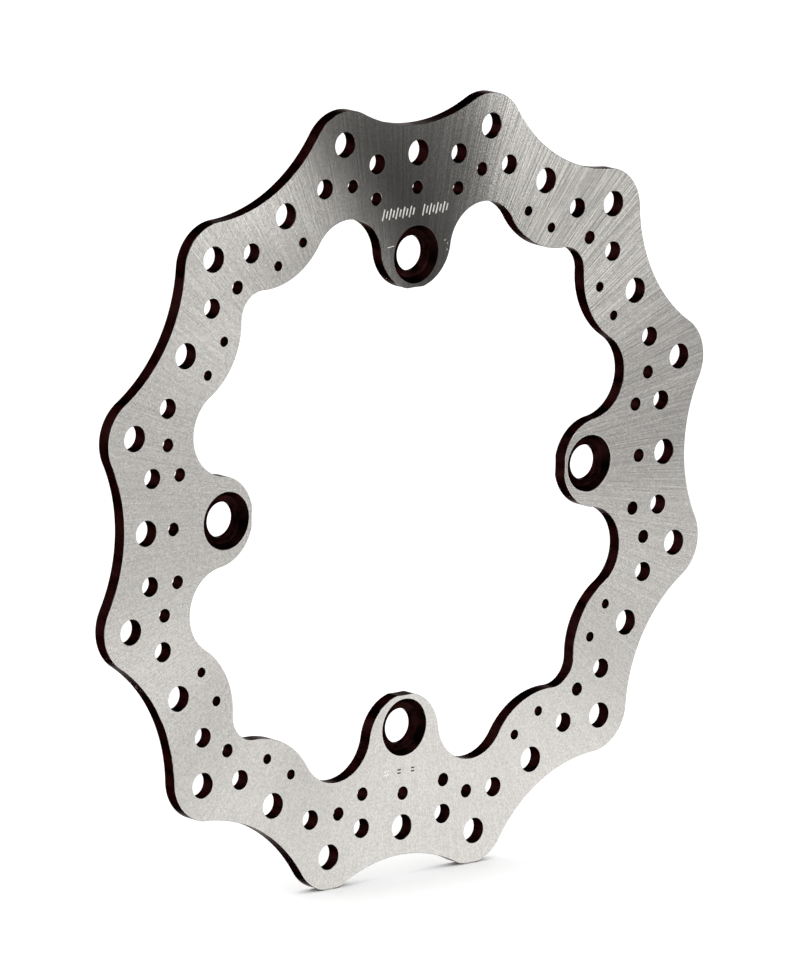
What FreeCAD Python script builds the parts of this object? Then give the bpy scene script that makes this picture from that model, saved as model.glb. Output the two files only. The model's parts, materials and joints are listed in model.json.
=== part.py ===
import FreeCAD, Part
import math
import os

# One-piece wave brake disc for the rear wheel of an off-road motorcycle. Lengths are in millimetres
# and angles in degrees.
#
# The disc stands upright in the XZ plane and turns about the Y axis. The hub face, which bolts to
# the wheel, is y = 0. The outboard face, with the bolt recesses, is y = -DISC_THICKNESS. The origin
# is the centre of the bolt circle on the hub face. Angles run clockwise from +Z, seen from outboard.

# The plate.
DISC_DIAMETER = 240.0
DISC_THICKNESS = 4.25

# Wavy rim: convex lobes joined by one long hollow each.
LOBE_COUNT = 12
LOBE_RADIUS = 13.4
HOLLOW_DISTANCE = 109.7

# Four tabs reach inwards and carry the wheel bolts. Each tab tip is one arc, cut back by the bore
# that clears the hub's register.
TAB_COUNT = 4
BORE_DIAMETER = 122.4
TAB_TIP_DISTANCE = 74.4
TAB_TIP_RADIUS = 13.6

# Between two tabs the inner edge runs through a side pocket, over a nose, round a middle pocket,
# and back. Their centres are given, and their radii follow from every arc touching the next.
SIDE_POCKET_DISTANCE = 75.8
SIDE_POCKET_ANGLE = 20.4
NOSE_DISTANCE = 107.5
NOSE_ANGLE = 32.5
MIDDLE_POCKET_DISTANCE = 83.1

# Wheel bolts: a plain hole under a recess with a tapered wall and a flat floor.
BOLT_CIRCLE_DIAMETER = 142.0
BOLT_HOLE_DIAMETER = 10.5
RECESS_MOUTH_DIAMETER = 17.1
RECESS_FLOOR_DIAMETER = 14.6
RECESS_DEPTH = 2.4

# Vent holes in the ring that the pads sweep.
LOBE_STEP = 360.0 / LOBE_COUNT
LARGE_VENT_DIAMETER = 7.6
MIDDLE_VENT_DIAMETER = 5.8
SMALL_VENT_DIAMETER = 3.95
FINE_VENT_DIAMETER = 2.9
LOBE_VENT_DISTANCE = 110.15
HOLLOW_VENT_DISTANCE = 101.3
PAIR_VENT_DISTANCE = 100.7
PAIR_VENT_SPREAD = 5.9
INNER_LOBE_VENT_DISTANCE = 97.1
TAB_VENT_DISTANCE = 91.0
TAB_SIDE_VENT_DISTANCE = 90.5
TAB_SIDE_VENT_SPREAD = 10.1
FINE_VENT_DISTANCE = 90.6
FINE_VENT_SPREADS = (9.0, 16.0)

STEEL_DENSITY = 7.75e-6


def polar(distance, angle, y=0.0):
    """The point at this distance from the axis and this angle from the top."""
    turn = math.radians(angle)
    return FreeCAD.Vector(distance * math.sin(turn), y, distance * math.cos(turn))


def around(count, first_angle):
    """Angles of this many equal steps, starting at first_angle."""
    return [first_angle + 360.0 * step / count for step in range(count)]


def both_sides(centres, spread):
    """Angles this far to either side of each centre."""
    return [centre + side * spread for centre in centres for side in (-1, 1)]


def touching_point(circle, neighbour):
    """Where two circles that touch from outside meet."""
    centre, radius = circle
    other_centre, other_radius = neighbour
    return centre + (other_centre - centre) * (radius / (radius + other_radius))


def touching_radius(centre, neighbour):
    """The radius with which a circle about centre touches its neighbour."""
    other_centre, other_radius = neighbour
    return centre.distanceToPoint(other_centre) - other_radius


def outline(circles):
    """A closed wire of arcs: one on each circle, from where it touches the last to the next."""
    edges = []
    for index, circle in enumerate(circles):
        centre, radius = circle
        start = touching_point(circle, circles[index - 1])
        end = touching_point(circle, circles[(index + 1) % len(circles)])
        halfway = (start - centre) + (end - centre)
        middle = centre + halfway.normalize() * radius
        edges.append(Part.Arc(start, middle, end).toShape())
    return Part.Wire(edges)


def plate_from(wire):
    """The wire filled in and thickened from the hub face to the outboard face."""
    return Part.Face(wire).extrude(FreeCAD.Vector(0, -DISC_THICKNESS, 0))


def rim_outline():
    """Twelve lobes, and between them hollows that touch both neighbours."""
    lobe_distance = DISC_DIAMETER / 2 - LOBE_RADIUS
    first_lobe = polar(lobe_distance, LOBE_STEP / 2)
    # The hollow's circle passes through (0, HOLLOW_DISTANCE) and touches the lobe's circle.
    drop = first_lobe.z - HOLLOW_DISTANCE
    hollow_radius = (first_lobe.x ** 2 + drop ** 2 - LOBE_RADIUS ** 2) / (2 * (drop + LOBE_RADIUS))
    circles = []
    for angle in around(LOBE_COUNT, 0.0):
        circles.append((polar(HOLLOW_DISTANCE + hollow_radius, angle), hollow_radius))
        circles.append((polar(lobe_distance, angle + LOBE_STEP / 2), LOBE_RADIUS))
    return outline(circles)


def inner_outline():
    """The opening: tab tips, side pockets, noses and middle pockets, mirrored about each tab."""
    half_quarter = 180.0 / TAB_COUNT
    tip = (polar(TAB_TIP_DISTANCE, 0.0), TAB_TIP_RADIUS)
    side_centre = polar(SIDE_POCKET_DISTANCE, SIDE_POCKET_ANGLE)
    side_radius = touching_radius(side_centre, tip)
    nose_centre = polar(NOSE_DISTANCE, NOSE_ANGLE)
    nose_radius = touching_radius(nose_centre, (side_centre, side_radius))
    middle_centre = polar(MIDDLE_POCKET_DISTANCE, half_quarter)
    middle_radius = touching_radius(middle_centre, (nose_centre, nose_radius))
    from_tab_to_tab = (
        (TAB_TIP_DISTANCE, 0.0, TAB_TIP_RADIUS),
        (SIDE_POCKET_DISTANCE, SIDE_POCKET_ANGLE, side_radius),
        (NOSE_DISTANCE, NOSE_ANGLE, nose_radius),
        (MIDDLE_POCKET_DISTANCE, half_quarter, middle_radius),
        (NOSE_DISTANCE, 2 * half_quarter - NOSE_ANGLE, nose_radius),
        (SIDE_POCKET_DISTANCE, 2 * half_quarter - SIDE_POCKET_ANGLE, side_radius),
    )
    circles = []
    for tab_angle in around(TAB_COUNT, 0.0):
        for distance, angle, radius in from_tab_to_tab:
            circles.append((polar(distance, tab_angle + angle), radius))
    return outline(circles)


def vent_pattern():
    """Every vent hole as (diameter, distance from the axis, angle)."""
    hollows = around(LOBE_COUNT, 0.0)
    lobes = around(LOBE_COUNT, LOBE_STEP / 2)
    tabs = around(TAB_COUNT, 0.0)
    between_tabs = around(TAB_COUNT, 180.0 / TAB_COUNT)
    rings = [
        (LARGE_VENT_DIAMETER, LOBE_VENT_DISTANCE, lobes),
        (LARGE_VENT_DIAMETER, HOLLOW_VENT_DISTANCE, hollows),
        (MIDDLE_VENT_DIAMETER, PAIR_VENT_DISTANCE, both_sides(lobes, PAIR_VENT_SPREAD)),
        (SMALL_VENT_DIAMETER, INNER_LOBE_VENT_DISTANCE, lobes),
        (SMALL_VENT_DIAMETER, TAB_VENT_DISTANCE, tabs),
        (SMALL_VENT_DIAMETER, TAB_SIDE_VENT_DISTANCE, both_sides(tabs, TAB_SIDE_VENT_SPREAD)),
    ]
    for spread in FINE_VENT_SPREADS:
        rings.append((FINE_VENT_DIAMETER, FINE_VENT_DISTANCE, both_sides(between_tabs, spread)))
    return [(diameter, distance, angle) for diameter, distance, angles in rings for angle in angles]


def through_hole(diameter, centre):
    """A cylinder through the plate, from the outboard face at centre to the hub face."""
    return Part.makeCylinder(diameter / 2, DISC_THICKNESS, centre, FreeCAD.Vector(0, 1, 0))


def bolt_recess(centre):
    """The tapered pocket for a bolt head, from its mouth at centre down to its floor."""
    mouth_radius = RECESS_MOUTH_DIAMETER / 2
    floor_radius = RECESS_FLOOR_DIAMETER / 2
    return Part.makeCone(mouth_radius, floor_radius, RECESS_DEPTH, centre, FreeCAD.Vector(0, 1, 0))


def rotor_disc():
    """The whole disc: a wavy plate with its opening, bolt holes, recesses and vents cut out."""
    cutters = [plate_from(inner_outline())]
    cutters.append(through_hole(BORE_DIAMETER, FreeCAD.Vector(0, -DISC_THICKNESS, 0)))
    for angle in around(TAB_COUNT, 0.0):
        bolt_centre = polar(BOLT_CIRCLE_DIAMETER / 2, angle, -DISC_THICKNESS)
        cutters.append(through_hole(BOLT_HOLE_DIAMETER, bolt_centre))
        cutters.append(bolt_recess(bolt_centre))
    for diameter, distance, angle in vent_pattern():
        cutters.append(through_hole(diameter, polar(distance, angle, -DISC_THICKNESS)))
    return plate_from(rim_outline()).cut(cutters)


def main():
    os.makedirs("parts", exist_ok=True)
    disc = rotor_disc()
    if not disc.isValid() or len(disc.Solids) != 1:
        raise ValueError("the disc is not one valid solid")
    solid = disc.Solids[0]
    solid.exportStep("parts/rotor_disc.step")
    box = solid.BoundBox
    print("vent holes: %d" % len(vent_pattern()))
    print("size: %.2f x %.2f x %.2f mm" % (box.XLength, box.YLength, box.ZLength))
    print("volume: %.0f mm3, mass: %.3f kg" % (solid.Volume, solid.Volume * STEEL_DENSITY))


main()
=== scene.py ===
import json
import math
import bmesh
import bpy
from mathutils import Matrix, Vector
from mathutils.geometry import delaunay_2d_cdt


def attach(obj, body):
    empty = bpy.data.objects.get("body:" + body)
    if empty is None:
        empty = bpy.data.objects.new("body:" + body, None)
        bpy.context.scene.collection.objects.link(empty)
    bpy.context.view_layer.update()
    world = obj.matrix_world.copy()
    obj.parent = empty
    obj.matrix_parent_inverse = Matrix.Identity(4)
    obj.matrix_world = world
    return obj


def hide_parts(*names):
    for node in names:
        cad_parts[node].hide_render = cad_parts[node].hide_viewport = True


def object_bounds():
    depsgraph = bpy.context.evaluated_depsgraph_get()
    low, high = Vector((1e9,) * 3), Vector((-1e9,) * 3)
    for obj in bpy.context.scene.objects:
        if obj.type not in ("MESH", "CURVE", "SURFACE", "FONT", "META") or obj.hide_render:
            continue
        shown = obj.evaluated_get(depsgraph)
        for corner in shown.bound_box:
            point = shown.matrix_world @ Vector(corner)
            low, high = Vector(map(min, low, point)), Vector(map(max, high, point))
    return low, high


# The looks of a one-piece wave brake disc. The disc stands in the XZ plane and turns about Y.
# The outboard face looks along -Y, and the hub face is y = 0. Lengths are in metres, and angles
# run clockwise from +Z, seen from outboard.

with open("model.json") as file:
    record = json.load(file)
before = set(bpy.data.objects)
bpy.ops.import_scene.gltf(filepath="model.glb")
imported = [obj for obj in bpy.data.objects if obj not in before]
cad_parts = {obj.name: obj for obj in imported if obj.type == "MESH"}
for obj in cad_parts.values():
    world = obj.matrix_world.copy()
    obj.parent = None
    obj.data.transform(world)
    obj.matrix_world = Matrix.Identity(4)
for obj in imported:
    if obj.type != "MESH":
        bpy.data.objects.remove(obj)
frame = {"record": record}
cad_low, cad_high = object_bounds()
mounts = {mount["name"]: mount for mount in frame["record"]["mounts"]}

MM = 0.001

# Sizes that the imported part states.
FRONT = cad_low.y
BACK = cad_high.y
BOLT_DISTANCE = mounts["hub_bolt_circle"]["dims"]["pcd_mm"] / 2 * MM
BOLT_HOLE_RADIUS = mounts["hub_bolt_circle"]["dims"]["hole_r_mm"] * MM
BORE_RADIUS = mounts["hub_register"]["dims"]["r_mm"] * MM

# Outline. The two lobes beside the top touch the upper side of the part's box.
LOBE_COUNT = 12
LOBE_STEP = 360.0 / LOBE_COUNT
LOBE_RADIUS = 13.4 * MM
LOBE_DISTANCE = (cad_high.z - LOBE_RADIUS) / math.cos(math.radians(LOBE_STEP / 2))
HOLLOW_DISTANCE = 109.7 * MM
TAB_COUNT = 4
TAB_TIP_DISTANCE = 74.4 * MM
TAB_TIP_RADIUS = 13.6 * MM
SIDE_POCKET_DISTANCE = 75.8 * MM
SIDE_POCKET_ANGLE = 20.4
NOSE_DISTANCE = 107.5 * MM
NOSE_ANGLE = 32.5
MIDDLE_POCKET_DISTANCE = 83.1 * MM

# Bolt recess. The corner at the foot of its wall is rounded, through a middle point that lies this
# share of the rounding from the sharp corner. The first steps of its profile are the bored wall,
# whose coat is painted darker as shade.
RECESS_MOUTH_RADIUS = 8.55 * MM
RECESS_FLOOR_RADIUS = 7.3 * MM
RECESS_DEPTH = 2.4 * MM
RECESS_CORNER = 0.35 * MM
CORNER_MIDDLE = 0.3
RECESS_WALL_STEPS = 3

# Vent holes: radii, distances from the axis, and angles to either side of a lobe, a tab or, for the
# fine ones, the middle between two tabs.
LARGE_VENT_RADIUS = 3.8 * MM
MIDDLE_VENT_RADIUS = 2.9 * MM
SMALL_VENT_RADIUS = 1.975 * MM
FINE_VENT_RADIUS = 1.45 * MM
LOBE_VENT_DISTANCE = 110.15 * MM
HOLLOW_VENT_DISTANCE = 101.3 * MM
PAIR_VENT_DISTANCE = 100.7 * MM
PAIR_VENT_SPREAD = 5.9
INNER_LOBE_VENT_DISTANCE = 97.1 * MM
TAB_VENT_DISTANCE = 91.0 * MM
TAB_SIDE_VENT_DISTANCE = 90.5 * MM
TAB_SIDE_VENT_SPREAD = 10.1
FINE_VENT_DISTANCE = 90.6 * MM
FINE_VENT_SPREADS = (9.0, 16.0)

# Materials of the disc, in the order of its slots. The last is the recess walls' coat, painted darker
# as shade.
GROUND, COATED, STAMPED, STRUCK, SHADED_RECESS = 0, 1, 2, 3, 4

# Stamped notches above the top bolt hole. They stand for a part mark and spell nothing. Each run is
# (x of its first notch, number of notches). The shape runs from a notch's lip to its floor, as
# (share of the radius, inwards; share of the depth).
NOTCH_Z = 84.0 * MM
NOTCH_STEP = 1.3 * MM
NOTCH_RUNS = ((-13.0 * MM, 10), (2.6 * MM, 8))
NOTCH_HEIGHTS = (2.9 * MM, 1.7 * MM)
NOTCH_LEAN = 0.25
NOTCH_RADIUS = 0.25 * MM
NOTCH_DEPTH = 0.12 * MM
NOTCH_SHAPE = ((0.0, 0.0), (0.3, 0.8), (0.6, 1.0))
NOTCH_END_STEPS = 6

# Pairs of short level notches below the bottom bolt hole, as (x, length, radius, material).
SMALL_MARKS = (
    (-6.5 * MM, 1.6 * MM, 0.3 * MM, STAMPED),
    (-1.6 * MM, 1.0 * MM, 0.22 * MM, STRUCK),
    (3.7 * MM, 1.0 * MM, 0.22 * MM, STRUCK),
)
SMALL_MARK_Z = -84.2 * MM
SMALL_MARK_GAP = 1.0 * MM

# A scratch to the left of the top bolt recess and three nicks to the right of it, as (start, end).
SCRATCHES = (
    ((-11.3 * MM, 74.1 * MM), (-8.7 * MM, 74.4 * MM)),
    ((11.05 * MM, 73.95 * MM), (11.45 * MM, 74.25 * MM)),
    ((12.1 * MM, 72.95 * MM), (12.2 * MM, 73.2 * MM)),
    ((12.1 * MM, 71.05 * MM), (12.15 * MM, 71.35 * MM)),
)
SCRATCH_RADIUS = 0.12 * MM

# Finish: how far edges are broken, in the plate's faces and where a bolt hole leaves its recess, and
# the width of the band beside an edge that may be rubbed bright.
EDGE_BREAK = 0.1 * MM
HOLE_MOUTH_BREAK = 2 * EDGE_BREAK
EDGE_SHINE = 0.4 * MM

# Mesh: edges that bend more than the sharp angle aren't smoothed, and outlines have a station at
# least every station step.
SHARP_ANGLE = math.radians(30.0)
STATION_STEP = 0.45 * MM
LEAST_ARC_STATIONS = 3
LEAST_HOLE_STATIONS = 40
FILL_TOLERANCE = 1e-9


# ---------------------------------------------------------------- outlines

class Station:
    """A point on an outline in the XZ plane, with the direction that leads into the steel."""

    def __init__(self, point, inward):
        self.point = point
        self.inward = inward

    def moved(self, inset):
        return self.point + self.inward * inset


def polar(distance, angle):
    """The point, in (x, z), at this distance from the axis and this angle from the top."""
    turn = math.radians(angle)
    return Vector((distance * math.sin(turn), distance * math.cos(turn)))


def around(count, first_angle):
    """Angles of this many equal steps, starting at first_angle."""
    return [first_angle + 360.0 * step / count for step in range(count)]


def both_sides(centres, spread):
    """Angles this far to either side of each centre."""
    return [centre + side * spread for centre in centres for side in (-1, 1)]


def turned(direction, turn):
    """The direction turned by this many radians, anticlockwise seen from outboard."""
    return Vector((
        direction.x * math.cos(turn) - direction.y * math.sin(turn),
        direction.x * math.sin(turn) + direction.y * math.cos(turn),
    ))


def arc_stations(centre, radius, start, end, steel_inside):
    """Stations along the shorter arc from start up to, but without, end."""
    first = start - centre
    sweep = first.angle_signed(end - centre)
    count = max(LEAST_ARC_STATIONS, math.ceil(abs(sweep) * radius / STATION_STEP))
    stations = []
    for step in range(count):
        outward = turned(first, -sweep * step / count).normalized()
        inward = -outward if steel_inside else outward
        stations.append(Station(centre + outward * radius, inward))
    return stations


def touching_point(circle, neighbour):
    """Where two circles that touch from outside meet."""
    centre, radius, _ = circle
    other_centre, other_radius, _ = neighbour
    return centre + (other_centre - centre) * (radius / (radius + other_radius))


def touching_radius(centre, neighbour_centre, neighbour_radius):
    """The radius with which a circle about centre touches its neighbour."""
    return (neighbour_centre - centre).length - neighbour_radius


def chain_stations(circles):
    """Stations round a closed chain of circles, each touching the next."""
    stations = []
    for index, circle in enumerate(circles):
        centre, radius, steel_inside = circle
        start = touching_point(circle, circles[index - 1])
        end = touching_point(circle, circles[(index + 1) % len(circles)])
        stations += arc_stations(centre, radius, start, end, steel_inside)
    return stations


def circle_stations(centre, radius):
    """Stations round a hole: the steel lies outside it."""
    count = max(LEAST_HOLE_STATIONS, math.ceil(math.tau * radius / STATION_STEP))
    stations = []
    for angle in around(count, 0.0):
        outward = polar(1.0, angle)
        stations.append(Station(centre + outward * radius, outward))
    return stations


def rim_stations():
    """Stations round the wavy rim: lobes, and between them hollows that touch both neighbours."""
    lobe = polar(LOBE_DISTANCE, LOBE_STEP / 2)
    # A hollow's circle passes through the hollow's distance and touches the lobe's circle.
    drop = lobe.y - HOLLOW_DISTANCE
    hollow_radius = (lobe.x ** 2 + drop ** 2 - LOBE_RADIUS ** 2) / (2 * (drop + LOBE_RADIUS))
    circles = []
    for angle in around(LOBE_COUNT, 0.0):
        circles.append((polar(HOLLOW_DISTANCE + hollow_radius, angle), hollow_radius, False))
        circles.append((polar(LOBE_DISTANCE, angle + LOBE_STEP / 2), LOBE_RADIUS, True))
    return chain_stations(circles)


def opening_stations():
    """Stations round the opening: tab tips, side pockets, noses and middle pockets."""
    half_quarter = 180.0 / TAB_COUNT
    tip = polar(TAB_TIP_DISTANCE, 0.0)
    side = polar(SIDE_POCKET_DISTANCE, SIDE_POCKET_ANGLE)
    side_radius = touching_radius(side, tip, TAB_TIP_RADIUS)
    nose = polar(NOSE_DISTANCE, NOSE_ANGLE)
    nose_radius = touching_radius(nose, side, side_radius)
    middle = polar(MIDDLE_POCKET_DISTANCE, half_quarter)
    middle_radius = touching_radius(middle, nose, nose_radius)
    from_tab_to_tab = (
        (TAB_TIP_DISTANCE, 0.0, TAB_TIP_RADIUS, True),
        (SIDE_POCKET_DISTANCE, SIDE_POCKET_ANGLE, side_radius, False),
        (NOSE_DISTANCE, NOSE_ANGLE, nose_radius, True),
        (MIDDLE_POCKET_DISTANCE, half_quarter, middle_radius, False),
        (NOSE_DISTANCE, 2 * half_quarter - NOSE_ANGLE, nose_radius, True),
        (SIDE_POCKET_DISTANCE, 2 * half_quarter - SIDE_POCKET_ANGLE, side_radius, False),
    )
    circles = []
    for tab_angle in around(TAB_COUNT, 0.0):
        for distance, angle, radius, steel_inside in from_tab_to_tab:
            circles.append((polar(distance, tab_angle + angle), radius, steel_inside))
    stations = chain_stations(circles)
    # The tips of the tabs are cut back to the bore.
    for station in stations:
        if station.point.length < BORE_RADIUS:
            station.inward = station.point.normalized()
            station.point = station.inward * BORE_RADIUS
    return stations


def notch_stations(start, end, radius):
    """Stations clockwise round a straight notch with half-round ends."""
    run = (end - start).normalized()
    side = Vector((-run.y, run.x))
    stations = []
    for centre, first in ((start, -side), (end, side)):
        for step in range(NOTCH_END_STEPS + 1):
            outward = turned(first, -math.pi * step / NOTCH_END_STEPS)
            stations.append(Station(centre + outward * radius, outward))
    return stations


def stamped_notches():
    """Every notch and scratch as (start, end, radius, material)."""
    notches = []
    for first_x, count in NOTCH_RUNS:
        for index in range(count):
            centre = Vector((first_x + index * NOTCH_STEP, NOTCH_Z))
            height = NOTCH_HEIGHTS[index % 2]
            half = Vector((NOTCH_LEAN * height, height)) / 2
            notches.append((centre - half, centre + half, NOTCH_RADIUS, STAMPED))
    for x, length, radius, material in SMALL_MARKS:
        for side in (-1, 1):
            centre = Vector((x, SMALL_MARK_Z + side * SMALL_MARK_GAP / 2))
            half = Vector((length / 2, 0.0))
            notches.append((centre - half, centre + half, radius, material))
    for start, end in SCRATCHES:
        notches.append((Vector(start), Vector(end), SCRATCH_RADIUS, STAMPED))
    return notches


def vent_pattern():
    """Every vent hole as (centre, radius)."""
    hollows = around(LOBE_COUNT, 0.0)
    lobes = around(LOBE_COUNT, LOBE_STEP / 2)
    tabs = around(TAB_COUNT, 0.0)
    between_tabs = around(TAB_COUNT, 180.0 / TAB_COUNT)
    rings = [
        (LARGE_VENT_RADIUS, LOBE_VENT_DISTANCE, lobes),
        (LARGE_VENT_RADIUS, HOLLOW_VENT_DISTANCE, hollows),
        (MIDDLE_VENT_RADIUS, PAIR_VENT_DISTANCE, both_sides(lobes, PAIR_VENT_SPREAD)),
        (SMALL_VENT_RADIUS, INNER_LOBE_VENT_DISTANCE, lobes),
        (SMALL_VENT_RADIUS, TAB_VENT_DISTANCE, tabs),
        (SMALL_VENT_RADIUS, TAB_SIDE_VENT_DISTANCE, both_sides(tabs, TAB_SIDE_VENT_SPREAD)),
    ]
    for spread in FINE_VENT_SPREADS:
        rings.append((FINE_VENT_RADIUS, FINE_VENT_DISTANCE, both_sides(between_tabs, spread)))
    holes = []
    for radius, distance, angles in rings:
        holes += [(polar(distance, angle), radius) for angle in angles]
    return holes


# ---------------------------------------------------------------- the disc's mesh

class Plate:
    """A closed plate under construction: walls are rings of vertices, and flat faces join them."""

    def __init__(self):
        self.mesh = bmesh.new()
        self.wear = self.mesh.verts.layers.float.new("edge_wear")
        self.front_rings = []
        self.back_rings = []

    def ring(self, stations, inset, y, wear):
        """One vertex for each station. Wear is 1 where an edge may be rubbed bright, 0 elsewhere."""
        vertices = []
        for station in stations:
            point = station.moved(inset)
            vertex = self.mesh.verts.new((point.x, y, point.y))
            vertex[self.wear] = wear
            vertices.append(vertex)
        return vertices

    def strip(self, ring, next_ring, material):
        """The faces between two rings of the same stations."""
        for index in range(len(ring)):
            follower = (index + 1) % len(ring)
            corners = (ring[index], ring[follower], next_ring[follower], next_ring[index])
            face = self.mesh.faces.new(corners)
            face.material_index = material

    def wall(self, stations, profile, shaded_recess_steps=0):
        """A wall through the plate, from the front face to the back face, along (inset, y) steps.

        The first steps, as many as the third argument says, belong to a bored recess, whose coat is
        painted darker as shade.
        """
        rings = [self.ring(stations, inset, y, 1.0) for inset, y in profile]
        for index, (ring, next_ring) in enumerate(zip(rings, rings[1:])):
            self.strip(ring, next_ring, SHADED_RECESS if index < shaded_recess_steps else COATED)
        front = self.ring(stations, profile[0][0] + EDGE_SHINE, FRONT, 0.0)
        back = self.ring(stations, profile[-1][0] + EDGE_SHINE, BACK, 0.0)
        self.strip(front, rings[0], GROUND)
        self.strip(rings[-1], back, GROUND)
        self.front_rings.append(front)
        self.back_rings.append(back)

    def groove(self, stations, profile, material):
        """A shallow closed groove in the front face, along (inset, y) steps."""
        rings = [self.ring(stations, inset, y, 0.0) for inset, y in profile]
        for ring, next_ring in zip(rings, rings[1:]):
            self.strip(ring, next_ring, material)
        floor = self.mesh.faces.new(rings[-1])
        floor.material_index = material
        self.front_rings.append(rings[0])

    def flat_face(self, rings, material):
        """Fills the first ring, leaving the other rings open."""
        vertices = [vertex for ring in rings for vertex in ring]
        loops = []
        first = 0
        for ring in rings:
            loops.append(list(range(first, first + len(ring))))
            first += len(ring)
        # The filler asks for loops that run anticlockwise. Stations do so in (z, x).
        points = [Vector((vertex.co.z, vertex.co.x)) for vertex in vertices]
        inside_loops = 1
        made = delaunay_2d_cdt(points, [], loops, inside_loops, FILL_TOLERANCE)
        _, _, triangles, sources, _, regions = made
        # A triangle inside the first loop only is steel. One that another loop holds too is open.
        for triangle, loop_numbers in zip(triangles, regions):
            if loop_numbers == [0]:
                corners = [vertices[sources[index][0]] for index in triangle]
                face = self.mesh.faces.new(corners)
                face.material_index = material

    def finished(self, name):
        self.flat_face(self.front_rings, GROUND)
        self.flat_face(self.back_rings, GROUND)
        bmesh.ops.recalc_face_normals(self.mesh, faces=self.mesh.faces)
        for face in self.mesh.faces:
            face.smooth = True
        for edge in self.mesh.edges:
            edge.smooth = edge.calc_face_angle() < SHARP_ANGLE
        data = bpy.data.meshes.new(name)
        self.mesh.to_mesh(data)
        self.mesh.free()
        piece = bpy.data.objects.new(name, data)
        bpy.context.scene.collection.objects.link(piece)
        return piece


def notch_profile(radius):
    """From the lip of a stamped notch to its narrower floor."""
    return [(-inwards * radius, FRONT + down * NOTCH_DEPTH) for inwards, down in NOTCH_SHAPE]


def broken_edges():
    """The profile of a plain wall: square through the plate, with both edges lightly broken."""
    return (
        (EDGE_BREAK, FRONT),
        (0.0, FRONT + EDGE_BREAK),
        (0.0, BACK - EDGE_BREAK),
        (EDGE_BREAK, BACK),
    )


def recess_profile():
    """From the mouth of a bolt recess down its tapered wall, over its floor and out of the hole."""
    mouth = RECESS_MOUTH_RADIUS - BOLT_HOLE_RADIUS
    foot = RECESS_FLOOR_RADIUS - BOLT_HOLE_RADIUS
    floor = FRONT + RECESS_DEPTH
    taper = (mouth - foot) / RECESS_DEPTH
    return (
        (mouth + EDGE_BREAK, FRONT),
        (mouth - taper * EDGE_BREAK, FRONT + EDGE_BREAK),
        (foot + taper * RECESS_CORNER, floor - RECESS_CORNER),
        (foot - RECESS_CORNER * CORNER_MIDDLE, floor - RECESS_CORNER * CORNER_MIDDLE),
        (foot - RECESS_CORNER, floor),
        (HOLE_MOUTH_BREAK, floor),
        (0.0, floor + HOLE_MOUTH_BREAK),
        (0.0, BACK - EDGE_BREAK),
        (EDGE_BREAK, BACK),
    )


def make_disc():
    plate = Plate()
    plate.wall(rim_stations(), broken_edges())
    plate.wall(opening_stations(), broken_edges())
    for angle in around(TAB_COUNT, 0.0):
        hole = circle_stations(polar(BOLT_DISTANCE, angle), BOLT_HOLE_RADIUS)
        plate.wall(hole, recess_profile(), RECESS_WALL_STEPS)
    for centre, radius in vent_pattern():
        plate.wall(circle_stations(centre, radius), broken_edges())
    for start, end, radius, material in stamped_notches():
        plate.groove(notch_stations(start, end, radius), notch_profile(radius), material)
    return plate.finished("wave_disc")


# ---------------------------------------------------------------- node trees

class Nodes:
    """Adds nodes to one tree. Inputs are given by name or number, as values or as other outputs."""

    def __init__(self, tree):
        self.tree = tree
        self.tree.nodes.clear()

    def add(self, kind, inputs=None, **settings):
        node = self.tree.nodes.new(kind)
        for name, value in settings.items():
            setattr(node, name, value)
        for name, value in (inputs or {}).items():
            self.put(node.inputs[name], value)
        return node

    def put(self, socket, value):
        if isinstance(value, bpy.types.NodeSocket):
            self.tree.links.new(value, socket)
        else:
            socket.default_value = value

    def math(self, operation, first, second=0.0):
        inputs = {0: first, 1: second}
        return self.add("ShaderNodeMath", inputs, operation=operation).outputs["Value"]

    def weighted(self, *terms):
        """The sum of (output, weight) terms."""
        total = 0.0
        for output, weight in terms:
            total = self.math("ADD", total, self.math("MULTIPLY", output, weight))
        return total

    def noise(self, vector, scale, detail=2.0, roughness=0.5):
        inputs = {"Vector": vector, "Scale": scale, "Detail": detail, "Roughness": roughness}
        return self.add("ShaderNodeTexNoise", inputs).outputs["Fac"]

    def remap(self, value, low, high, first=0.0, second=1.0, kind="LINEAR"):
        """first below low, second above high, and a steady change in between."""
        inputs = {"Value": value, "From Min": low, "From Max": high}
        inputs.update({"To Min": first, "To Max": second})
        node = self.add("ShaderNodeMapRange", inputs, interpolation_type=kind)
        return node.outputs["Result"]

    def step(self, value, low, high, first, second):
        """As remap, with a smooth change."""
        return self.remap(value, low, high, first, second, "SMOOTHSTEP")

    def blend(self, amount, first, second):
        """A mix of two colours. Inputs 6 and 7 and output 2 are the node's colour sockets."""
        node = self.add("ShaderNodeMix", data_type="RGBA")
        self.put(node.inputs["Factor"], amount)
        self.put(node.inputs[6], first)
        self.put(node.inputs[7], second)
        return node.outputs[2]

    def combine(self, x, y, z):
        return self.add("ShaderNodeCombineXYZ", {"X": x, "Y": y, "Z": z}).outputs["Vector"]

    def scaled(self, colour, factor):
        inputs = {0: colour, "Scale": factor}
        return self.add("ShaderNodeVectorMath", inputs, operation="SCALE").outputs["Vector"]

    def bump(self, height, depth, strength=1.0):
        inputs = {"Height": height, "Distance": depth, "Strength": strength}
        return self.add("ShaderNodeBump", inputs).outputs["Normal"]


def new_material(name):
    material = bpy.data.materials.new(name)
    material.use_nodes = True
    return material, Nodes(material.node_tree)


def finish_surface(nodes, inputs):
    surface = nodes.add("ShaderNodeBsdfPrincipled", inputs)
    output = nodes.add("ShaderNodeOutputMaterial")
    nodes.put(output.inputs["Surface"], surface.outputs["BSDF"])
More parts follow.
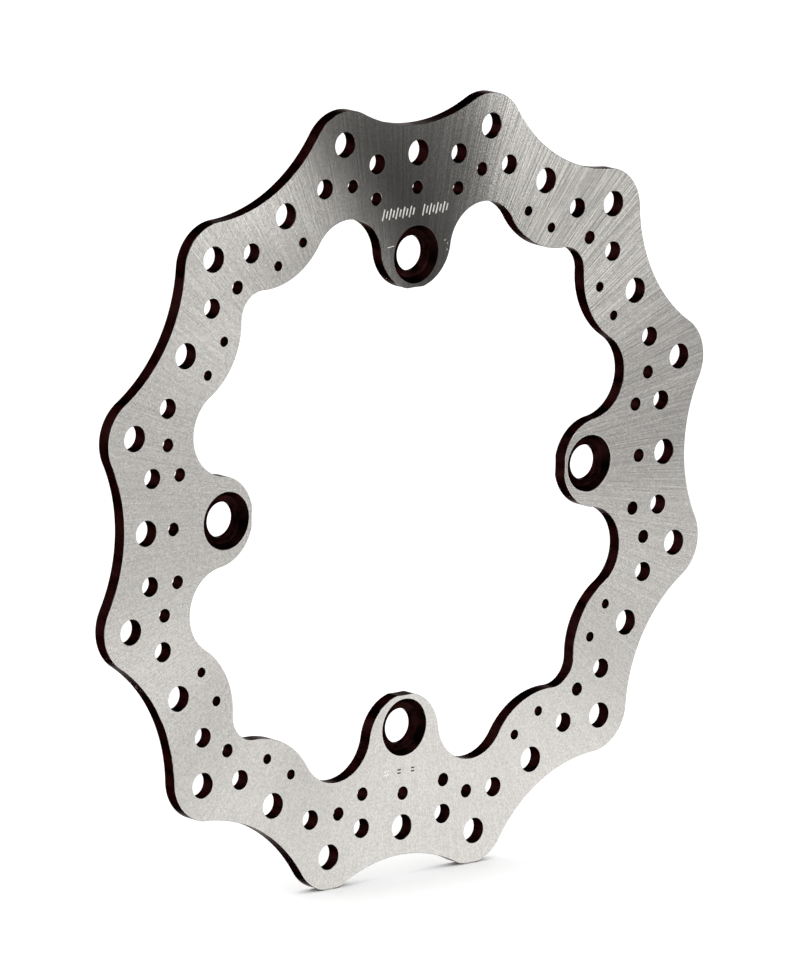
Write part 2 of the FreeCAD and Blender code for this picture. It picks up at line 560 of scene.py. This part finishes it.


# ---------------------------------------------------------------- materials

# Linear colours, each from the darkest to the brightest of its grain. The steel's leave room for the
# painted sheen, which brightens them, because a colour above 1 is cut off.
STEEL_TONES = ((0.341, 0.331, 0.314, 1.0), (0.634, 0.615, 0.584, 1.0))
COAT_TONES = ((0.0022, 0.0006, 0.0006, 1.0), (0.0175, 0.0055, 0.0055, 1.0))
# The bolt recesses' walls take the coat in darker tones: painted shade.
RECESS_SHADE_TONES = ((0.0018, 0.00055, 0.00055, 1.0), (0.0125, 0.0038, 0.0038, 1.0))
STAMPED_TONES = ((0.66, 0.65, 0.63, 1.0), (0.86, 0.85, 0.83, 1.0))
STRUCK_TONES = ((0.03, 0.0285, 0.027, 1.0), (0.15, 0.143, 0.135, 1.0))

# What shows where the steel is rubbed and where the coat is worn off.
RUBBED_STEEL = (0.60, 0.585, 0.563, 1.0)
WORN_COAT = (0.45, 0.428, 0.405, 1.0)

# A metal turns white where it is seen at a grazing angle. This tint keeps the coat dark there.
COAT_GRAZING_TINT = (0.37, 0.335, 0.335, 1.0)

STEEL_ROUGHNESS = (0.22, 0.27)
COAT_ROUGHNESS = (0.26, 0.38)
STRUCK_ROUGHNESS = (0.5, 0.62)

# Widths and lengths of the two kinds of grinding line, measured at the middle of the track, and how
# far the lines turn, in radians, for each metre outwards.
TRACK_RADIUS = 0.1
HAIR_WIDTH = 0.25 * MM
HAIR_LENGTH = 14 * MM
LONG_LINE_WIDTH = 0.30 * MM
LONG_LINE_LENGTH = 45 * MM
GRIND_SPIRAL = -0.4

# Noise scales, in features per metre. The coat's grain is drawn out through the plate: lengths along
# Y count only this much in it.
GRIT_SCALE = 1800.0
CLOUD_SCALE = 45.0
COAT_PATCH_SCALE = 240.0
COAT_LINE_SCALE = 2400.0
COAT_WEAR_SCALE = 130.0
STRUCK_GRAIN_SCALE = 2500.0
COAT_DRAW = 0.3

# Depths of the bumps.
GRIND_BUMP = 0.05 * MM
COAT_BUMP = 0.012 * MM
STRUCK_BUMP = 0.03 * MM

# Painted glints on the grinding lines: their colour contrast is strongest round this direction, where
# the light catches them, and fades to both sides. Their bumps are strongest there too.
LIT_LINES_ANGLE = math.radians(38.0)
LIT_LINES_FOCUS = 3.5
LIT_LINES_CONTRAST = 2.8
PLAIN_LINES = 0.5
GRIT_DEPTH = 0.7

# Painted sheen: directions round the disc in which the steel's colour is painted brighter or darker,
# as painted highlights and painted shade of the studio's reflections, and by how much.
PAINTED_SHEEN_BANDS = (
    (3.0, 0.20), (17.0, 0.62), (31.0, 0.30), (44.0, 0.12),
    (54.0, 0.28), (63.0, 0.10), (78.0, -0.04), (90.0, -0.17),
    (107.0, -0.04), (140.0, 0.08), (219.0, 0.15), (231.0, -0.11),
    (250.0, 0.12), (300.0, 0.06), (314.0, 0.13), (330.0, 0.22),
)
PAINTED_SHEEN_FOCUS = 70.0

# Two more bands of painted sheen lean: their directions hold at the middle of the track, and turn
# back by this many radians for each metre outwards.
LEANING_PAINTED_SHEEN_BANDS = ((334.5, 0.60), (352.0, -0.40))
BAND_LEAN = 7.4


class DiscPlace:
    """Where a shaded point lies on the disc, for patterns that follow the grinding."""

    def __init__(self, nodes):
        self.nodes = nodes
        self.position = nodes.add("ShaderNodeTexCoord").outputs["Object"]
        split = nodes.add("ShaderNodeSeparateXYZ", {"Vector": self.position})
        self.x, self.y, self.z = (split.outputs[axis] for axis in "XYZ")
        flat = nodes.combine(self.x, 0.0, self.z)
        length = nodes.add("ShaderNodeVectorMath", {0: flat}, operation="LENGTH")
        self.distance = length.outputs["Value"]
        self.angle = nodes.math("ARCTAN2", self.x, self.z)

    def facing(self, direction, focus, lean=0.0):
        """1 in one direction from the axis, and less to both sides. A higher focus is narrower.

        The direction turns back by lean for each metre outwards from the middle of the track.
        """
        nodes = self.nodes
        outwards = nodes.math("SUBTRACT", self.distance, TRACK_RADIUS)
        leaning = nodes.math("ADD", self.angle, nodes.math("MULTIPLY", outwards, lean))
        nearness = nodes.math("COSINE", nodes.math("SUBTRACT", leaning, direction))
        drop = nodes.math("MULTIPLY", nodes.math("SUBTRACT", nearness, 1.0), focus)
        return nodes.math("EXPONENT", drop)

    def streaks(self, width, length):
        """Noise in streaks of this width and length that run outwards, as the grinding does."""
        nodes = self.nodes
        turn = nodes.math("ADD", self.angle, nodes.math("MULTIPLY", self.distance, GRIND_SPIRAL))
        wrap = TRACK_RADIUS / width
        across = nodes.math("MULTIPLY", nodes.math("SINE", turn), wrap)
        along = nodes.math("MULTIPLY", nodes.math("COSINE", turn), wrap)
        outwards = nodes.math("MULTIPLY", self.distance, 1.0 / length)
        return nodes.noise(nodes.combine(across, along, outwards), 1.0, 0.0)


def ground_steel():
    """Bare steel, ground in fine lines that run outwards, with painted glints on the lines and
    painted sheen by direction.
    """
    material, nodes = new_material("ground_steel_looks")
    place = DiscPlace(nodes)
    hair = place.streaks(HAIR_WIDTH, HAIR_LENGTH)
    long_lines = place.streaks(LONG_LINE_WIDTH, LONG_LINE_LENGTH)
    grit = nodes.noise(place.position, GRIT_SCALE, 0.0)
    cloud = nodes.noise(place.position, CLOUD_SCALE)
    # Painted glints: the lines' contrast, and a little their bump, follow the direction round the
    # disc.
    lit_lines_mask = place.facing(LIT_LINES_ANGLE, LIT_LINES_FOCUS)
    line_contrast = nodes.remap(lit_lines_mask, 0.0, 1.0, PLAIN_LINES, LIT_LINES_CONTRAST)
    lines = nodes.math("SUBTRACT", nodes.weighted((hair, 0.5), (long_lines, 0.5)), 0.5)
    lines = nodes.math("MULTIPLY", lines, line_contrast)
    specks = nodes.math("MULTIPLY", nodes.math("SUBTRACT", grit, 0.5), GRIT_DEPTH)
    shade = nodes.math("ADD", lines, specks)
    colour = nodes.blend(nodes.remap(shade, -0.5, 0.5), *STEEL_TONES)
    # Painted sheen: the colour is scaled by direction round the disc, painting highlights and shade.
    sheen = 1.0
    for bands, lean in ((PAINTED_SHEEN_BANDS, 0.0), (LEANING_PAINTED_SHEEN_BANDS, BAND_LEAN)):
        for angle, change in bands:
            band = place.facing(math.radians(angle), PAINTED_SHEEN_FOCUS, lean)
            sheen = nodes.math("ADD", sheen, nodes.math("MULTIPLY", band, change))
    colour = nodes.scaled(colour, sheen)
    edge = nodes.add("ShaderNodeAttribute", attribute_name="edge_wear").outputs["Fac"]
    rubbed = nodes.math("MULTIPLY", edge, nodes.remap(cloud, 0.40, 0.62, 0.0, 0.8))
    colour = nodes.blend(rubbed, colour, RUBBED_STEEL)
    tangent = nodes.add("ShaderNodeTangent", direction_type="RADIAL", axis="Y").outputs["Tangent"]
    grooves = nodes.weighted((hair, 0.8), (grit, 0.2))
    finish_surface(nodes, {
        "Base Color": colour,
        "Metallic": 1.0,
        "Roughness": nodes.remap(nodes.math("ADD", hair, cloud), 0.6, 1.4, *STEEL_ROUGHNESS),
        "Anisotropic": 1.0,
        "Tangent": tangent,
        "Normal": nodes.bump(grooves, GRIND_BUMP, nodes.remap(lit_lines_mask, 0.0, 1.0, 0.7, 1.0)),
    })
    return material


def coat_material(name, tones):
    """Burgundy-black coating with a dull metallic sheen, worn through in places along its edges."""
    material, nodes = new_material(name)
    place = DiscPlace(nodes)
    depth = nodes.math("SUBTRACT", place.y, FRONT)
    drawn_out = nodes.combine(place.x, nodes.math("MULTIPLY", place.y, COAT_DRAW), place.z)
    patches = nodes.noise(drawn_out, COAT_PATCH_SCALE)
    cut_lines = nodes.noise(drawn_out, COAT_LINE_SCALE)
    shade = nodes.weighted((patches, 0.7), (cut_lines, 0.3))
    colour = nodes.blend(nodes.remap(shade, 0.36, 0.64), *tones)
    from_edge = nodes.math("MINIMUM", depth, nodes.math("SUBTRACT", BACK - FRONT, depth))
    at_edge = nodes.remap(from_edge, 0.8 * EDGE_BREAK, 1.6 * EDGE_BREAK, 1.0, 0.0)
    stretches = nodes.noise(place.position, COAT_WEAR_SCALE, 3.0, 0.6)
    worn = nodes.math("MULTIPLY", at_edge, nodes.remap(stretches, 0.52, 0.66, 0.0, 0.8))
    colour = nodes.blend(worn, colour, WORN_COAT)
    finish_surface(nodes, {
        "Base Color": colour,
        "Metallic": 1.0,
        "Specular Tint": COAT_GRAZING_TINT,
        "Roughness": nodes.remap(patches, 0.3, 0.7, *COAT_ROUGHNESS),
        "Normal": nodes.bump(cut_lines, COAT_BUMP),
    })
    return material


def struck_steel(name, tones):
    """Steel at the bottom of a stamped notch, rough and without grinding lines."""
    material, nodes = new_material(name)
    place = DiscPlace(nodes)
    grain = nodes.noise(place.position, STRUCK_GRAIN_SCALE)
    finish_surface(nodes, {
        "Base Color": nodes.blend(grain, *tones),
        "Metallic": 1.0,
        "Roughness": nodes.remap(grain, 0.3, 0.7, *STRUCK_ROUGHNESS),
        "Normal": nodes.bump(grain, STRUCK_BUMP),
    })
    return material


# ---------------------------------------------------------------- studio

FLOOR_RADIUS = 12.0
SHEET_SEGMENTS = 96
PAPER = (0.93, 0.93, 0.93, 1.0)
PAPER_ROUGHNESS = 0.9
WORLD_LEVEL = 1.4

# The studio wall, seen only in reflections. Bearings run from -Y, in front of the disc, towards +X,
# in degrees. Levels are radiances.
TENT_RADIUS = 0.6
TENT_HEIGHT = 2.5
TENT_HALF_SPAN = 100.0
TENT_SEGMENTS = 60
TENT_BASE = 0.119

# Soft boxes on that wall: level, bearing and half width, height and half height.
STRIP_BOX = (2.67, 40.0, 87.0, 0.1245, 0.06)
FRONT_BOX = (3.0, -4.0, 18.3, 0.375, 0.86)
HIGH_BOX = (1.91, -15.8, 27.0, 0.65, 0.147)
RIGHT_BOX = (3.73, 72.4, 16.9, 0.147, 0.22)

# A black flag covers the first three boxes below a slanted line: its height straight ahead, and how
# much lower it is for each degree of bearing. Another flag covers the foot of the last box and ends
# softly between two heights.
FLAG_Z = 0.124
FLAG_SLOPE = 0.0035
FLAG_BLUR = 0.013
FOOT_FLAG = (0.022, 0.142)

# The bright sheet on the floor, also seen only in reflections. It shines at the first level round the
# disc and at the second one further out, and changes between two distances from its middle.
BOUNCE_RADIUS = 0.6
BOUNCE_LEVELS = (1.48, 1.31)
BOUNCE_FALL = (0.238, 0.358)
BOUNCE_LIFT = 0.0005


def plain_material(name, colour, roughness):
    material, nodes = new_material(name)
    finish_surface(nodes, {"Base Color": colour, "Roughness": roughness, "Specular IOR Level": 0.0})
    return material


def round_sheet(name, radius, z, looks):
    """A level round sheet about the middle of the scene."""
    mesh = bpy.data.meshes.new(name)
    build = bmesh.new()
    bmesh.ops.create_circle(build, cap_ends=True, segments=SHEET_SEGMENTS, radius=radius)
    build.to_mesh(mesh)
    build.free()
    mesh.materials.append(looks)
    sheet = bpy.data.objects.new(name, mesh)
    sheet.location.z = z
    bpy.context.scene.collection.objects.link(sheet)
    return sheet


def make_floor():
    paper = plain_material("pale_paper", PAPER, PAPER_ROUGHNESS)
    floor = round_sheet("floor", FLOOR_RADIUS, cad_low.z, paper)


def shown_only_in_gloss(card):
    """The card shows in reflections, but isn't seen, casts no shadow and lights nothing else."""
    card.visible_camera = False
    card.visible_diffuse = False
    card.visible_transmission = False
    card.visible_volume_scatter = False
    card.visible_shadow = False


def glow_material(name, strength):
    """An emission material. strength(nodes) returns its radiance as a value or an output."""
    material, nodes = new_material(name)
    glow = nodes.add("ShaderNodeEmission", {"Strength": strength(nodes)})
    output = nodes.add("ShaderNodeOutputMaterial")
    nodes.put(output.inputs["Surface"], glow.outputs["Emission"])
    return material


def softbox(nodes, bearing, z, box):
    """The box's level at its middle, falling off smoothly to all sides."""
    level, centre, half_width, height, half_height = box
    across = nodes.math("DIVIDE", nodes.math("SUBTRACT", bearing, centre), half_width)
    upwards = nodes.math("DIVIDE", nodes.math("SUBTRACT", z, height), half_height)
    across_squared = nodes.math("MULTIPLY", across, across)
    upwards_squared = nodes.math("MULTIPLY", upwards, upwards)
    fall = nodes.weighted((across_squared, -1.0), (upwards_squared, -1.0))
    return nodes.math("MULTIPLY", nodes.math("EXPONENT", fall), level)


def tent_radiance(nodes):
    """Three soft boxes above a slanted flag, and one more on the right."""
    position = nodes.add("ShaderNodeTexCoord").outputs["Object"]
    split = nodes.add("ShaderNodeSeparateXYZ", {"Vector": position})
    x, y, z = (split.outputs[axis] for axis in "XYZ")
    bearing = nodes.math("ARCTAN2", x, nodes.math("MULTIPLY", y, -1.0))
    bearing = nodes.math("MULTIPLY", bearing, math.degrees(1.0))
    flag_line = nodes.math("SUBTRACT", FLAG_Z, nodes.math("MULTIPLY", bearing, FLAG_SLOPE))
    above_flag = nodes.step(nodes.math("SUBTRACT", z, flag_line), -FLAG_BLUR, FLAG_BLUR, 0.0, 1.0)
    above_foot = nodes.step(z, *FOOT_FLAG, 0.0, 1.0)
    radiance = TENT_BASE
    for box in (STRIP_BOX, FRONT_BOX, HIGH_BOX):
        light = nodes.math("MULTIPLY", softbox(nodes, bearing, z, box), above_flag)
        radiance = nodes.math("ADD", radiance, light)
    light = nodes.math("MULTIPLY", softbox(nodes, bearing, z, RIGHT_BOX), above_foot)
    return nodes.math("ADD", radiance, light)


def bounce_radiance(nodes):
    """Bright near the disc, and a little less further out."""
    position = nodes.add("ShaderNodeTexCoord").outputs["Object"]
    distance = nodes.add("ShaderNodeVectorMath", {0: position}, operation="LENGTH").outputs["Value"]
    return nodes.step(distance, *BOUNCE_FALL, *BOUNCE_LEVELS)


def make_tent():
    """A curved studio wall round the front of the disc. It shows only in glossy reflections."""
    mesh = bpy.data.meshes.new("tent")
    build = bmesh.new()
    rails = []
    for z in (cad_low.z, TENT_HEIGHT):
        rail = []
        for step in range(TENT_SEGMENTS + 1):
            bearing = math.radians(TENT_HALF_SPAN * (2 * step / TENT_SEGMENTS - 1))
            across = TENT_RADIUS * math.sin(bearing)
            forwards = -TENT_RADIUS * math.cos(bearing)
            rail.append(build.verts.new((across, forwards, z)))
        rails.append(rail)
    for step in range(TENT_SEGMENTS):
        build.faces.new((rails[0][step], rails[0][step + 1], rails[1][step + 1], rails[1][step]))
    build.to_mesh(mesh)
    build.free()
    tent = bpy.data.objects.new("tent", mesh)
    mesh.materials.append(glow_material("tent_glow", tent_radiance))
    bpy.context.scene.collection.objects.link(tent)
    shown_only_in_gloss(tent)


def make_bounce():
    """A bright sheet on the floor round the disc. It shows only in glossy reflections."""
    glow = glow_material("bounce_glow", bounce_radiance)
    bounce = round_sheet("bounce", BOUNCE_RADIUS, cad_low.z + BOUNCE_LIFT, glow)
    shown_only_in_gloss(bounce)


def light_world(strength):
    """Even white light from all sides, which is also the white background."""
    world = bpy.data.worlds.new("soft_white")
    world.use_nodes = True
    nodes = Nodes(world.node_tree)
    sky = nodes.add("ShaderNodeBackground", {"Color": (1.0, 1.0, 1.0, 1.0), "Strength": strength})
    output = nodes.add("ShaderNodeOutputWorld")
    nodes.put(output.inputs["Surface"], sky.outputs["Background"])
    bpy.context.scene.world = world


# ---------------------------------------------------------------- camera

# Lens and sensor are in millimetres, and the azimuth runs from -Y towards +X. The camera stands at
# this distance from the middle of the disc, moved a little to its own left and upwards.
CAMERA_LENS = 429.0
CAMERA_SENSOR = 36.0
CAMERA_AZIMUTH = math.radians(-41.624)
CAMERA_ELEVATION = math.radians(11.991)
CAMERA_ROLL = math.radians(1.422)
CAMERA_DISTANCE = 3.42429
CAMERA_RIGHT = -0.001581
CAMERA_UP = 0.000456
CAMERA_REACH = 100.0


def make_camera():
    level = Vector((math.sin(CAMERA_AZIMUTH), -math.cos(CAMERA_AZIMUTH), 0.0))
    back = level * math.cos(CAMERA_ELEVATION) + Vector((0.0, 0.0, math.sin(CAMERA_ELEVATION)))
    flat_right = Vector((math.cos(CAMERA_AZIMUTH), math.sin(CAMERA_AZIMUTH), 0.0))
    plumb_up = back.cross(flat_right)
    right = flat_right * math.cos(CAMERA_ROLL) + plumb_up * math.sin(CAMERA_ROLL)
    up = back.cross(right)
    target = (cad_low + cad_high) / 2
    data = bpy.data.cameras.new("photo_camera")
    data.lens = CAMERA_LENS
    data.sensor_width = CAMERA_SENSOR
    data.clip_end = CAMERA_REACH
    camera = bpy.data.objects.new("photo_camera", data)
    rotation = Matrix((right, up, back)).transposed()
    place = target + back * CAMERA_DISTANCE + right * CAMERA_RIGHT + up * CAMERA_UP
    camera.matrix_world = Matrix.Translation(place) @ rotation.to_4x4()
    bpy.context.scene.collection.objects.link(camera)
    bpy.context.scene.camera = camera


# ---------------------------------------------------------------- scene

disc = make_disc()
# In the order of the slots: ground steel, coat, stamped, struck, and the recess walls' coat with
# painted shade.
disc_looks = (
    ground_steel(),
    coat_material("dark_oxide_looks", COAT_TONES),
    struck_steel("stamped_looks", STAMPED_TONES),
    struck_steel("struck_looks", STRUCK_TONES),
    # Painted shade: the recess walls' coat in darker tones.
    coat_material("recess_shade_looks", RECESS_SHADE_TONES),
)
for looks in disc_looks:
    disc.data.materials.append(looks)
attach(disc, "root")
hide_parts("rotor_disc")
make_floor()
make_tent()
make_bounce()
light_world(WORLD_LEVEL)
make_camera()
bpy.context.scene.view_settings.view_transform = "Standard"
